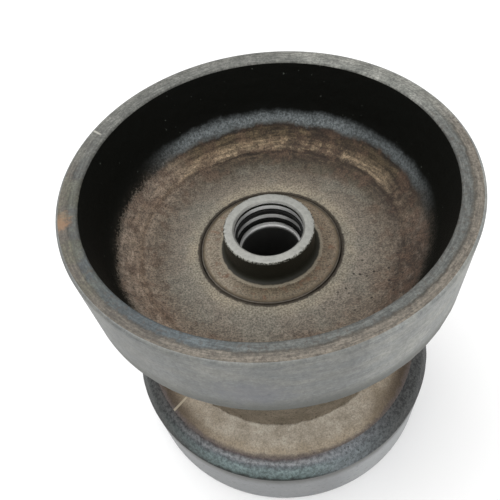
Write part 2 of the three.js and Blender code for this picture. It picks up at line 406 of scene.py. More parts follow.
def tread_finish():
    """Turned tread, rubbed by wear to a soft satin, with fine tool lines and faint stains running round it,
    painted light on its right side and on the lower drum's tread, and painted shade towards the shoulder.
    """
    f = Finish("satin_tread", metallic=0.4)
    lines = f.noise(1.0, 4, 0.6, f.joined(f.times(f.azimuth(), 4.5), 0, f.times(f.z, 0.8)))
    broad = f.noise(1.0, 3, 0.6, f.joined(f.times(f.azimuth(), 5), 7, f.times(f.z, 0.12)))
    base = f.painted(
        f.noise(26, 4, 0.6),
        (0.35, 105, 106, 103), (0.5, 114, 115, 111), (0.65, 123, 123, 118),
    )
    base = f.mix(f.spread(broad, 0.4, 0.62, 0, 0.4), base, paint(102, 106, 108))
    base = f.mix(1.0, base, f.spread(lines, 0.32, 0.68, 0.82, 1.16), "MULTIPLY")
    base = f.grained(base, 1.1, 0.9, 1.1)
    base = f.grained(base, 3.2, 0.86, 1.12)
    # Painted light: the lower drum's tread is made lighter.
    base = f.mix(f.spread(f.z, 130, 120, 0, 0.6), base, paint(142, 144, 147))
    patch = f.vector("DISTANCE", f.vector("MULTIPLY", f.place, (1, 1, 1.6)), (-16, -124, 1.6 * 217))
    patch = f.spread(f.plus(patch, f.centred(9, 44, 5)), 30, 8)
    base = f.tint(base, patch, 0.5, paint(92, 94, 102))
    blots = f.times(f.spread(f.noise(4, 5, 0.75), 0.56, 0.64), 0.45)
    base = f.mix(blots, base, paint(86, 86, 88))
    # Painted light: the tread is made lighter towards its right side.
    right = f.spread(f.x, 15, 70)
    base = f.shade(base, right, 1.4)
    # Painted shade: the tread darkens towards its shoulder edge, where it rounds over.
    lower = f.spread(f.plus(f.depth(), f.centred(9, 8)), 38, 54)
    base = f.tint(base, lower, 0.8, paint(68, 69, 63))
    f.bump(f.plus(lines, f.times(broad, 2)), 0.05, 0.5)
    return f.set(color=base, roughness=f.spread(lines, 0.3, 0.7, 0.48, 0.6))


def rim_finish():
    """Rim face: speckled rusty tan on its outer half and blue-grey scale on its inner half."""
    f = Finish("rim_face", metallic=0.1)
    around = f.times(f.azimuth(), 10)
    across = f.plus(f.radius(), f.plus(f.centred(7, 4.5, 5, 0.75), f.centred(40, 4)))
    base = f.painted(
        across,
        (112, 82, 83, 80), (116.4, 84, 86, 83), (118.2, 68, 64, 56), (119.2, 100, 94, 85),
        (122.6, 106, 99, 89), (124.2, 86, 80, 70), (125.4, 128, 125, 117),
    )
    blue = f.spread(f.vector("DISTANCE", f.place, (-72, -88, ROLLER_LENGTH / MM)), 80, 25)
    blue = f.times(blue, f.spread(across, 119, 117))
    base = f.tint(base, blue, 0.75, paint(74, 84, 89))
    green = f.times(f.spread(f.x, -70, -112), f.spread(f.noise(15, 4, 0.6), 0.42, 0.6))
    base = f.tint(base, green, 0.5, paint(104, 104, 84))
    behind = f.spread(f.plus(f.y, f.centred(30, 60)), 0, 60)
    grey = f.painted(
        f.noise(12, 5, 0.7),
        (0.36, 96, 97, 92), (0.5, 112, 113, 107), (0.64, 130, 130, 124),
    )
    base = f.tint(base, behind, 0.9, grey)
    dim = f.math("MAXIMUM", f.spread(f.x, -30, -80), f.times(behind, f.spread(f.x, 50, 5)))
    base = f.shade(base, dim, 0.66)
    streak = f.noise(1.0, 4, 0.7, f.joined(around, f.times(f.radius(), 0.8), 2))
    base = f.mix(1.0, base, f.spread(streak, 0.36, 0.64, 0.68, 1.26), "MULTIPLY")
    base = f.grained(base, 1.5, 0.7, 1.26)
    speck = f.noise(2.6, 4, 0.75)
    front = f.times(f.spread(speck, 0.47, 0.38), f.spread(behind, 1, 0.2))
    base = f.tint(base, front, 0.55, paint(58, 48, 38))
    rust = f.vector("DISTANCE", f.place, (-120.5, -21, ROLLER_LENGTH / MM))
    rust = f.spread(f.plus(rust, f.centred(4, 22, 5, 0.75)), 10, 2)
    base = f.tint(base, rust, 0.6, paint(140, 104, 72))
    lean = f.times(f.math("SUBTRACT", f.radius(), 119), 0.002)
    scratch = f.math("ABSOLUTE", f.plus(f.plus(f.azimuth(), 2.06), lean))
    scratch = f.times(f.spread(scratch, 0.009, 0.003), f.spread(f.radius(), 115, 118))
    base = f.tint(base, scratch, 0.6, paint(178, 176, 166))
    f.bump(f.plus(speck, f.times(streak, 0.6)), 0.25, 0.6)
    return f.set(color=base, roughness=f.spread(speck, 0.3, 0.7, 0.52, 0.68))


def shoulder_finish():
    """As-cast shoulder in mottled blue-grey scale, brown along its inner edge, with painted shade darkening
    its left and right sides and a painted shade line along its outer edge.
    """
    f = Finish("scale_shoulder", metallic=0.5)
    mottle = f.noise(2.4, 5, 0.75)
    level = f.plus(f.radius(), f.centred(6, 4))
    # The last stop is a painted shade line, dark along the outer edge where the shoulder turns into the
    # tread.
    base = f.painted(
        level,
        (111.5, 104, 94, 86), (113, 80, 72, 72), (114.4, 106, 107, 108), (116, 126, 128, 130),
        (117.8, 92, 98, 101), (120.2, 108, 122, 122), (123.4, 86, 100, 99), (124.6, 30, 36, 34),
    )
    base = f.tint(base, f.spread(f.x, 5, 45), 0.75, paint(108, 113, 117))
    base = f.mix(1.0, base, f.spread(mottle, 0.36, 0.64, 0.55, 1.35), "MULTIPLY")
    # Painted shade: the left and right sides are darkened towards black, mottled through.
    side = f.spread(f.math("ABSOLUTE", f.plus(f.x, 8)), 36, 100)
    black = f.mix(f.spread(mottle, 0.35, 0.65), paint(16, 17, 17), paint(66, 66, 64))
    base = f.tint(base, side, 0.92, black)
    pits = f.times(f.spread(f.cells(4.2), 0.2, 0.12), f.spread(f.x, 15, 45))
    base = f.tint(base, pits, 0.7, paint(22, 22, 20))
    f.bump(f.plus(mottle, f.noise(1.2, 3, 0.6)), 0.35, 0.6)
    return f.set(color=base, roughness=f.spread(mottle, 0.3, 0.7, 0.42, 0.56))


def web_back_finish():
    """Sandy tan web back, ochre towards the sides with painted shade on their outer part, and a sharp
    change to the speckled waist, painted darker as shade under the upper drum.
    """
    f = Finish("sandy_web_back", metallic=0.0, specular=0.25)
    patches = f.noise(13, 5, 0.65)
    base = f.painted(patches, (0.36, 144, 135, 120), (0.5, 162, 153, 139), (0.64, 178, 171, 157))
    golden = f.spread(f.plus(f.radius(), f.centred(7, 8, 5, 0.7)), 99, 110)
    base = f.tint(base, golden, 0.4, paint(150, 132, 106))
    # The sides turn ochre, and their outer part is darkened to dark brown as painted shade.
    side = f.spread(f.math("ABSOLUTE", f.x), 40, 96)
    outer = f.spread(f.radius(), 94, 108)
    base = f.tint(base, side, 0.5, paint(126, 106, 79))
    base = f.tint(base, f.times(side, outer), 0.85, paint(52, 42, 34))
    edge = f.spread(f.plus(f.radius(), f.centred(5, 6, 5, 0.7)), 108, 112)
    base = f.tint(base, edge, 0.9, paint(90, 82, 79))
    # Painted shade: the waist under the upper drum takes a darker copy of the web's colour.
    waist = f.spread(f.plus(f.depth(), f.centred(6, 1)), 75.6, 76.4)
    dark = f.painted(patches, (0.36, 86, 78, 64), (0.64, 112, 102, 88))
    base = f.mix(waist, base, dark)
    base = f.grained(base, 1.2, 0.76, 1.16)
    speck = f.spread(f.noise(2.2, 4, 0.75), 0.45, 0.36)
    base = f.tint(base, speck, f.spread(waist, 0, 1, 0.25, 0.6), paint(52, 42, 32))
    line = f.math("ABSOLUTE", f.plus(f.azimuth(), 0.95))
    line = f.times(f.spread(line, 0.012, 0.006), f.spread(f.radius(), 96, 100))
    base = f.tint(base, line, 0.5, paint(190, 180, 158))
    f.bump(f.plus(f.noise(1.5, 5, 0.78), f.noise(4, 3, 0.6)), 0.5, 0.6)
    return f.set(color=base, roughness=f.spread(patches, 0.3, 0.7, 0.68, 0.82))


def bowl_finish():
    """Inside of the cup: black wall, blue-grey scale in the round with painted reflection brightening it on
    the far side and low on the wall, stained golden ring with painted highlights on its ridges and painted
    shade in its grooves, grainy web.
    """
    f = Finish("cast_bowl")
    turn = f.azimuth()
    level = f.plus(f.radius(), f.plus(f.centred(9, 4, 5, 0.7), f.centred(45, 5, 2, 0.5)))

    def toward(angle, width):
        """1 at an angle about the axis, down to 0 at a width from it."""
        return f.spread(f.math("ABSOLUTE", f.math("SUBTRACT", turn, angle)), width, width * 0.3)

    back = f.painted(
        level,
        (60, 118, 109, 96), (70, 102, 94, 83), (77, 80, 73, 61), (83, 68, 59, 47),
        (86.4, 80, 68, 53), (88, 50, 39, 28), (90, 142, 125, 102), (94.6, 128, 111, 88),
        (96.5, 76, 64, 47), (99, 92, 79, 59), (100.6, 44, 35, 25), (101.6, 98, 102, 101),
        (102.8, 136, 143, 145),
    )
    side = f.painted(
        level,
        (60, 120, 112, 101), (72, 109, 101, 90), (80, 103, 93, 81), (86, 106, 95, 83),
        (88.5, 96, 83, 70), (92, 112, 99, 86), (99, 106, 95, 84), (102.5, 76, 70, 62),
        (105, 30, 29, 25),
    )
    # The far side takes the back ramp, whose round is bright blue-grey as painted reflection, and the sides
    # take the side ramp, whose round goes dark; the web and ring tones also differ between them.
    facing = f.plus(f.times(f.y, 0.94), f.times(f.x, 0.34))
    far = f.spread(f.plus(facing, f.centred(14, 26, 5, 0.7)), 22, 76)
    base = f.mix(far, side, back)
    outer = f.spread(f.radius(), 76, 90)
    base = f.shade(base, f.times(outer, f.spread(f.x, -30, -80)), 1.4)
    base = f.shade(base, f.times(outer, f.spread(f.x, 50, 85)), 0.72)
    ragged = f.times(f.centred(1.8, 16, 5, 0.8), f.spread(far, 0.7, 0))
    flat = f.spread(f.plus(level, ragged), 102.6, 100.4)
    ring = f.times(f.spread(level, 80, 86), flat)
    arcs = f.noise(1, 5, 0.65, f.joined(f.times(turn, 7), f.times(f.radius(), 0.62), 5))
    lined = f.mix(1.0, base, f.spread(arcs, 0.36, 0.66, 0.55, 1.4), "MULTIPLY")
    base = f.tint(base, ring, f.spread(far, 0, 1, 0.45, 1), lined)
    stained = f.math("MAXIMUM", toward(2.66, 0.5), toward(1.8, 0.22))
    stained = f.math("MAXIMUM", toward(1.12, 0.5), stained)
    stained = f.times(stained, f.spread(f.noise(7, 5, 0.72), 0.38, 0.56))
    base = f.tint(base, f.times(stained, ring), 0.85, paint(50, 39, 31))
    halo = f.spread(f.plus(f.radius(), f.centred(8, 8)), 62, 53)
    base = f.tint(base, halo, 0.85, paint(142, 133, 116))
    grey = f.times(f.spread(f.noise(32, 3, 0.5), 0.46, 0.6), f.spread(f.radius(), 82, 74))
    base = f.tint(base, grey, 0.5, paint(114, 111, 101))
    brown = f.times(f.spread(f.noise(15, 5, 0.7), 0.48, 0.58), f.spread(f.radius(), 66, 80))
    base = f.tint(base, f.times(brown, flat), 0.5, paint(88, 69, 56))
    seam = f.spread(f.plus(f.radius(), f.centred(3, 3, 5, 0.75)), 51.2, 50)
    base = f.tint(base, seam, 0.9, paint(36, 28, 18))
    # Painted highlight along the crests of the raised ridges and the round mark, and painted shade in the
    # grooves, broken up by noise.
    ridge = f.layer("ridge")
    ridge_light_breakup = f.spread(f.noise(2.2, 4, 0.75), 0.4, 0.6)
    base = f.tint(base, f.spread(ridge, 0.35, 1.0, 0, 0.62), ridge_light_breakup, paint(158, 138, 108))
    base = f.tint(base, f.spread(ridge, -0.3, -0.9, 0, 0.8), ridge_light_breakup, paint(34, 26, 18))
    dirty = f.times(flat, f.spread(f.radius(), 52, 84, 0.35, 1))
    base = f.mix(dirty, base, f.grained(base, 5, 0.74, 1.2))
    base = f.mix(flat, base, f.grained(base, 1.15, 0.54, 1.4))
    speck = f.spread(f.noise(2.4, 5, 0.78), 0.45, 0.36)
    rough_part = f.spread(f.plus(f.radius(), f.centred(30, 40)), 55, 95, 0.3, 0.75)
    base = f.tint(base, f.times(speck, flat), rough_part, paint(44, 35, 27))
    pitted = f.spread(f.vector("DISTANCE", f.place, (62, -46, (ROLLER_LENGTH - WEB_DEPTH) / MM)), 42, 14)
    pits = f.times(f.spread(f.cells(5.5), 0.2, 0.12), pitted)
    base = f.tint(base, pits, 0.85, paint(26, 20, 15))
    # Painted reflection: low on the wall, more towards the back and right, the round's colour shows through
    # with some metal; elsewhere the wall is black.
    fallen = f.plus(f.depth(), f.plus(f.centred(2.4, 4, 5, 0.8), f.centred(15, 6)))
    lit = f.plus(f.times(f.y, 0.85), f.times(f.x, 0.52))
    glow = f.times(f.spread(fallen, 34.5, 42), f.spread(lit, -22, 80, 0.1, 1))
    glow = f.times(glow, f.spread(f.noise(1.7, 5, 0.8), 0.4, 0.62, 0.35, 1))
    on_wall = f.times(f.math("SUBTRACT", 1, flat), f.math("SUBTRACT", 1, glow))
    base = f.mix(on_wall, base, paint(11, 12, 9))
    metal = f.times(f.math("SUBTRACT", 1, flat), glow)
    scattered = f.spread(f.noise(24, 3, 0.6), 0.42, 0.55)
    crumbs = f.times(f.spread(f.noise(2.2, 2, 0.5), 0.73, 0.78), scattered)
    base = f.tint(base, f.times(crumbs, on_wall), 0.7, paint(120, 126, 118))
    f.bump(f.plus(f.noise(1.3, 5, 0.8), f.noise(5, 3, 0.6)), 0.7, 0.65)
    dullness = f.mix(metal, f.ramp(flat, [(0, (0.62,) * 3), (1, (0.74,) * 3)]), (0.42,) * 3)
    f.put(f.shader.inputs["Specular IOR Level"], f.spread(on_wall, 0, 1, 0.35, 0.08))
    return f.set(color=base, roughness=dullness, metallic=f.times(metal, 0.5))


def plain_cast_finish(name, low, high):
    """Raw casting or weld metal, out of the light."""
    f = Finish(name, metallic=0.2)
    grain = f.noise(2.5, 4, 0.7)
    base = f.ramp(grain, [(0.3, low), (0.7, high)])
    f.bump(grain, 0.2, 0.5)
    return f.set(color=base, roughness=f.spread(grain, 0.3, 0.7, 0.6, 0.8))


def hub_side_finish():
    """Dark scale on the hub tube, a pale line round its foot, and the olive-brown flange."""
    f = Finish("hub_side_scale")
    level = f.plus(f.radius(), f.centred(4, 1.8))
    dark, olive = paint(36, 36, 29), paint(100, 89, 72)
    base = f.ramp(
        level,
        [
            (31, dark), (33.6, paint(42, 40, 32)), (34.4, paint(132, 124, 108)),
            (35.6, paint(140, 131, 114)), (36.8, paint(92, 81, 65)), (40, olive),
            (44, paint(106, 96, 80)), (46.4, paint(84, 73, 56)), (47.5, paint(30, 23, 15)),
        ],
    )
    left = f.spread(f.plus(f.x, f.centred(12, 16)), -14, -32)
    right = f.spread(f.plus(f.x, f.centred(12, 16)), 16, 34)
    outside = f.times(f.spread(level, 34, 36.5), f.spread(level, 46.5, 44.5))
    base = f.tint(base, f.times(left, outside), 0.75, paint(136, 126, 111))
    base = f.tint(base, f.times(right, outside), 0.5, paint(120, 106, 90))
    base = f.mix(outside, base, f.grained(base, 1.15, 0.55, 1.38))
    burr = f.times(f.spread(f.depth(), 49.4, 48.2), f.spread(f.noise(1.6, 4, 0.7), 0.44, 0.56))
    base = f.tint(base, burr, f.spread(level, 29, 29.6), paint(150, 150, 142))
    speck = f.times(f.spread(f.noise(2.4, 5, 0.75), 0.46, 0.36), outside)
    base = f.tint(base, speck, 0.6, paint(46, 35, 24))
    rust = f.times(f.spread(f.noise(5, 5, 0.7), 0.54, 0.62), outside)
    base = f.tint(base, rust, 0.5, paint(104, 70, 50))
    f.put(f.shader.inputs["Specular IOR Level"], f.spread(level, 33.5, 36, 0.22, 0.35))
    f.bump(f.plus(f.noise(1.4, 5, 0.78), f.noise(4, 3, 0.6)), 0.3, 0.5)
    return f.set(color=base, roughness=f.spread(level, 33, 36, 0.5, 0.7))


def turned_steel_finish(name, tone, rough, metallic=0.95, line_size=0.35, mottle=0.78, side_shade_level=0.95):
    """Bright steel with fine tool rings about the axis, darkened towards the left and right as painted
    shade, down to the side level given.
    """
    f = Finish(name, metallic=metallic)
    rings = f.noise(line_size, 3, 0.7, f.joined(f.radius(), f.z, f.times(f.azimuth(), 0.3)))
    cloud = f.noise(3, 6, 0.75)
    base = f.ramp(cloud, [(0.36, tuple(t * mottle for t in tone)), (0.64, tone)])
    base = f.mix(f.spread(rings, 0.4, 0.75, 0, 0.25), base, tuple(t * 0.65 for t in tone))
    # Painted shade: darker away from the middle towards the left and right sides.
    base = f.shade(base, f.spread(f.math("ABSOLUTE", f.x), 4, 22), side_shade_level)
    f.bump(rings, 0.01, 0.4)
    return f.set(color=base, roughness=f.spread(cloud, 0.3, 0.7, rough, rough + 0.12))


def rubber_finish():
    """Greased black seal rubber."""
    f = Finish("seal_rubber", specular=0.15)
    film = f.noise(3, 3, 0.6)
    f.bump(f.noise(0.5, 3, 0.6), 0.03, 0.4)
    base = f.ramp(film, [(0.3, (0.004, 0.004, 0.004)), (0.7, (0.009, 0.009, 0.008))])
    return f.set(color=base, roughness=f.spread(film, 0.3, 0.7, 0.4, 0.6))


def brass_finish():
    """Turned brass of the roller cage."""
    f = Finish("cage_brass", metallic=0.95)
    cloud = f.noise(5, 3, 0.6)
    f.bump(f.noise(0.6, 3, 0.6), 0.02, 0.4)
    base = f.ramp(cloud, [(0.3, (0.42, 0.28, 0.1)), (0.7, (0.6, 0.43, 0.18))])
    return f.set(color=base, roughness=f.spread(cloud, 0.3, 0.7, 0.3, 0.42))


FINISHES = {
    "tread": tread_finish(),
    "rim": rim_finish(),
    "shoulder": shoulder_finish(),
    "web_back": web_back_finish(),
    "bowl": bowl_finish(),
    "hidden": plain_cast_finish("raw_casting", paint(74, 68, 60), paint(112, 104, 92)),
    "bead": plain_cast_finish("weld_bead", paint(58, 54, 52), paint(104, 98, 92)),
    "hub_side": hub_side_finish(),
    "hub_face": turned_steel_finish("hub_face_steel", (0.33, 0.33, 0.305), 0.44, 0.55, mottle=0.7),
    "land": turned_steel_finish(
        "bright_land_steel", (0.93, 0.93, 0.91), 0.38, 0.12, mottle=0.85, side_shade_level=0.5
    ),
    "sleeve": turned_steel_finish("oiled_sleeve_steel", (0.07, 0.07, 0.066), 0.45, 0.6),
    "race_steel": turned_steel_finish("race_steel", (0.55, 0.56, 0.58), 0.16, 0.95, 0.15),
    "rubber": rubber_finish(),
    "brass": brass_finish(),
}


# ---- cast surface

CAST_HEIGHT = {
    "bowl": 0.2 * MM,
    "shoulder": 0.22 * MM,
    "web_back": 0.25 * MM,
    "hidden": 0.2 * MM,
    "rim": 0.06 * MM,
    "hub_side": 0.1 * MM,
    "hub_face": 0.03 * MM,
}
CAST_SIZE = 8 * MM
SWELL_SIZE = 46 * MM

# Ridges low in the bowl, or grooves where the rise is negative: radius, rise, width
BOWL_RIDGES = (
    (94.2 * MM, 0.45 * MM, 0.7 * MM),
    (90.2 * MM, 0.5 * MM, 0.7 * MM),
    (87.6 * MM, -0.5 * MM, 0.9 * MM),
    (100.4 * MM, -0.35 * MM, 1.0 * MM),
)
MARK_RADIUS = 77 * MM
MARK_AZIMUTH = math.radians(-170)
MARK_SIZE = 3.1 * MM
MARK_LINE = 0.8 * MM
MARK_RISE = 0.4 * MM
BEAD_RIPPLES = 69
RIPPLE_RISE = 0.22 * MM
CHIP_SIZE = 2.2 * MM
CHIP_REACH = 1.2 * MM
CHIP_DEPTH = 1.2 * MM


def cast_surface(points, finishes, end):
    """How far the cast surface stands off its turned profile at each point."""
    shift = Vector((0.3, 0.1, 0.0)) if end == "upper" else Vector((0.0, 0.4, 0.2))
    height = np.zeros(points.shape[:2])
    strength = np.array([CAST_HEIGHT.get(f, 0.0) for f in finishes])
    for j in np.nonzero(strength)[0]:
        for i in range(points.shape[0]):
            spot = Vector(points[i, j]) + shift
            fine = noise.fractal(spot / CAST_SIZE, 0.8, 2.0, 4)
            height[i, j] = strength[j] * (fine + 1.2 * noise.noise(spot / SWELL_SIZE))
    return height


def drum_relief(end):
    """Cast skin, the wandering ridges low in the bowl, a small round mark, and the weld's ripples."""

    def relief(points, outline, finishes):
        height = cast_surface(points, finishes, end)
        ridge = np.zeros_like(height)
        turn = np.linspace(0, 2 * math.pi, points.shape[0], endpoint=False)
        bowl = np.array([f == "bowl" for f in finishes])
        for radius, rise, width in BOWL_RIDGES:
            drift = 1.0 * np.sin(3 * turn + radius / MM) + 0.6 * np.sin(7 * turn + 1.3)
            drift += 0.35 * np.sin(19 * turn) + 0.25 * np.sin(41 * turn + radius / MM)
            behind = np.clip(0.35 + 0.65 * np.sin(turn - 0.25), 0, 1)
            broken = 0.6 + 0.4 * np.sin(5 * turn + radius / MM) + 0.35 * np.sin(23 * turn)
            fade = behind * np.clip(broken, 0, 1)
            away = (outline[None, :, 0] - radius - drift[:, None] * MM) / width
            crest = fade[:, None] * np.exp(-(away**2)) * bowl[None, :]
            height += rise * crest
            ridge += math.copysign(1, rise) * crest
        mark = np.array((math.sin(MARK_AZIMUTH), -math.cos(MARK_AZIMUTH))) * MARK_RADIUS
        reach = np.linalg.norm(points[..., :2] - mark, axis=-1)
        stamp = np.exp(-(((reach - MARK_SIZE) / MARK_LINE) ** 2)) * bowl[None, :]
        height += MARK_RISE * stamp
        ridge += 0.6 * stamp
        bead = np.array([f == "bead" for f in finishes])
        arrow = np.abs(outline[None, :, 1] - DRUM_DEPTH) / BEAD_WIDTH * 1.6
        ripple = np.sin(BEAD_RIPPLES * turn[:, None] + arrow)
        return height + RIPPLE_RISE * ripple * bead[None, :], ridge

    return relief


def hub_relief(end):
    """Cast skin on the flange, and small chips round the outer edge of the turned face."""

    def relief(points, outline, finishes):
        height = cast_surface(points, finishes, end)
        away = np.hypot(outline[:, 0] - HUB_RADIUS, outline[:, 1] - HUB_FACE) / CHIP_REACH
        steps = points.shape[0]
        for j in np.nonzero(away < 2.5)[0]:
            near = math.exp(-away[j] ** 2)
            for i in range(steps):
                chip = max(0.0, noise.noise(Vector(points[i, j]) / CHIP_SIZE) - 0.02)
                in_front = 0.6 - 0.4 * math.sin(math.tau * i / steps)
                height[i, j] -= CHIP_DEPTH * chip * near * in_front
        return height, np.zeros_like(height)

    return relief


# ---- pieces

def finished(piece, slot, body, *nodes):
    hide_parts(*nodes)
    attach(piece, body)
    return piece


def drum(end):
    """The cup drum with its half of the waist."""
    wall_at_web = TREAD_RADIUS - RIM_WALL - WALL_DRAFT * WEB_DEPTH
    waist_corner = WEB_BACK_DEPTH + (WEB_BACK_RADIUS - WAIST_RADIUS) * BACK_SLOPE
    corners = [
        (TREAD_RADIUS, 0, RIM_ROUND, "tread"),
        (TREAD_RADIUS, TREAD_END, 0.5 * MM, "shoulder"),
        (*SHOULDER_CORNER, SHOULDER_ROUND, "shoulder"),
        (WEB_BACK_RADIUS, WEB_BACK_DEPTH, 3 * MM, "web_back"),
        (WAIST_RADIUS, waist_corner, WAIST_FILLET, "web_back"),
        (WAIST_RADIUS, DRUM_DEPTH - BEAD_WIDTH, 0.6 * MM, "bead"),
        (WAIST_RADIUS + BEAD_RISE, DRUM_DEPTH - BEAD_WIDTH / 2, 3 * MM, "bead"),
        (WAIST_RADIUS + BEAD_RISE, DRUM_DEPTH, 0.3 * MM, "hidden"),
        (WAIST_BORE, DRUM_DEPTH, 0.8 * MM, "hidden"),
        (WAIST_BORE, INNER_WEB_DEPTH, 5 * MM, "hidden"),
        (BARREL_SEAT, INNER_WEB_DEPTH, 0.5 * MM, "hidden"),
        (BARREL_SEAT, FLANGE_BACK, 0, "hidden"),
        (FLANGE_SEAT, FLANGE_BACK, 0, "hidden"),
        (FLANGE_SEAT, WEB_DEPTH, 0.6 * MM, "bowl"),
        (wall_at_web, WEB_DEPTH, BOWL_ROUND, "bowl"),
        (TREAD_RADIUS - RIM_WALL, 0, RIM_ROUND, "rim"),
    ]
    piece = turned(f"{end}_cup_drum", end, corners, DRUM_STEPS, drum_relief(end))
    return finished(piece, "cast_iron", "shell", f"{end}_drum")


def groove(low, high, floor):
    """Corners of a ring groove in the mouth, from its inner side outwards."""
    return [
        (MOUTH_RADIUS, high, 0.2 * MM, "hub_side"),
        (floor, high, 0.3 * MM, "hub_side"),
        (floor, low, 0.3 * MM, "hub_side"),
        (MOUTH_RADIUS, low, 0.2 * MM, "land"),
    ]


def hub(end):
    corners = [
        (HUB_RADIUS, HUB_FACE, 0.8 * MM, "hub_side"),
        (HUB_RADIUS, WEB_DEPTH, HUB_FOOT_ROUND, "hub_side"),
        (FLANGE_RADIUS, WEB_DEPTH, 0.6 * MM, "hidden"),
        (FLANGE_RADIUS, FLANGE_BACK, 0.4 * MM, "hidden"),
        (BARREL_RADIUS, FLANGE_BACK, 0, "hidden"),
        (BARREL_RADIUS, HUB_END, 0.8 * MM, "hidden"),
        (BEARING_SEAT, HUB_END, 0.8 * MM, "land"),
        (BEARING_SEAT, MOUTH_END, 0, "land"),
        (MOUTH_RADIUS, MOUTH_END, 0.2 * MM, "land"),
        *groove(*OIL_GROOVE),
        *groove(*DUST_GROOVE),
        *groove(*CLIP_GROOVE),
        (MOUTH_RADIUS, HUB_FACE + MOUTH_CHAMFER, 0.3 * MM, "hub_face"),
        (MOUTH_RADIUS + MOUTH_CHAMFER, HUB_FACE, 0.3 * MM, "hub_face"),
    ]
    piece = turned(f"{end}_machined_hub", end, corners, HUB_STEPS, hub_relief(end))
    return finished(piece, "hub_steel", "shell", f"{end}_hub")


def ring(end, name, finish, slot, node, corners):
    """A turned ring of one finish, from corners (radius, depth, round)."""
    corners = [(*corner, finish) for corner in corners]
    piece = turned(f"{end}_{name}", end, corners, RING_STEPS)
    return finished(piece, slot, "shell", f"{end}_{node}")


def dust_seal(end):
    corners = [
        (SEAL_RADIUS, DUST_SEAL_FACE, 0.3 * MM),
        (SEAL_RADIUS, DUST_SEAL_BACK, 0.3 * MM),
        (LIP_RADIUS + LIP_ROOT, DUST_SEAL_BACK, 0.4 * MM),
        (LIP_RADIUS, DUST_SEAL_FACE + LIP_SETBACK, 0.25 * MM),
        (LIP_RADIUS + LIP_NOSE, DUST_SEAL_FACE, 0.2 * MM),
    ]
    return ring(end, "wiper_ring", "rubber", "seal_rubber", "dust_seal", corners)


def oil_seal(end):
    leg, channel = SEAL_RADIUS - SEAL_LEG, OIL_SEAL_FACE + SEAL_HEEL
    corners = [
        (SEAL_RADIUS, OIL_SEAL_FACE, 0.3 * MM),
        (SEAL_RADIUS, OIL_SEAL_BACK, 0.2 * MM),
        (leg, OIL_SEAL_BACK, 0.2 * MM),
        (leg, channel, 0.3 * MM),
        (LIP_RADIUS + LIP_ROOT, channel, 0.3 * MM),
        (LIP_RADIUS + LIP_ROOT, OIL_SEAL_BACK - LIP_SETBACK, 0.2 * MM),
        (LIP_RADIUS, OIL_SEAL_BACK - 2 * LIP_SETBACK, 0.2 * MM),
        (LIP_RADIUS + LIP_NOSE, OIL_SEAL_FACE, 0.2 * MM),
    ]
    return ring(end, "lip_seal", "rubber", "seal_rubber", "oil_seal", corners)


def o_ring(end):
    """The O-ring in its groove on the hub's barrel, a ring of round section."""
    low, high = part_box("lower_hub_o_ring")
    size = (high.z - low.z) / 2
    middle, depth = high.x - size, (high.z + low.z) / 2
    corners = [
        (middle + across * size, depth + along * size, size * 0.999)
        for across, along in ((1, -1), (1, 1), (-1, 1), (-1, -1))
    ]
    return ring(end, "barrel_o_ring", "rubber", "seal_rubber", "hub_o_ring", corners)


def washer(end):
    corners = [
        (WASHER_RADIUS, WASHER_FACE, 0.3 * MM),
        (WASHER_RADIUS, WASHER_BACK, 0.3 * MM),
        (WASHER_BORE, WASHER_BACK, 0.3 * MM),
        (WASHER_BORE, WASHER_FACE, 0.6 * MM),
    ]
    return ring(end, "thrust_ring", "land", "ring_steel", "thrust_washer", corners)


def bearing_cup(end):
    corners = [
        (CUP_RADIUS, CUP_START, 0.6 * MM),
        (CUP_RADIUS, CUP_END, 0.6 * MM),
        (CUP_LIP_RADIUS, CUP_END, 0.2 * MM),
        (CUP_LIP_RADIUS, CUP_END - CUP_LIP, 0.2 * MM),
        (RACE_RADIUS, CUP_END - CUP_LIP, 0.3 * MM),
        (RACE_RADIUS, CUP_START + CUP_LIP, 0.3 * MM),
        (CUP_LIP_RADIUS, CUP_START + CUP_LIP, 0.2 * MM),
        (CUP_LIP_RADIUS, CUP_START, 0.2 * MM),
    ]
    return ring(end, "drawn_cup", "race_steel", "bearing_steel", "bearing_cup", corners)


def settled(source, *helpers):
    """The finished mesh of a piece that has modifiers, as a plain piece of the same name."""
    name = source.name
    mesh = bpy.data.meshes.new_from_object(source.evaluated_get(bpy.context.evaluated_depsgraph_get()))
    for used in (source, *helpers):
        bpy.data.objects.remove(used)
    mesh.polygons.foreach_set("use_smooth", np.ones(len(mesh.polygons), bool))
    mesh.set_sharp_from_angle(angle=math.radians(40))
    mesh.name = name
    return placed(name, mesh)


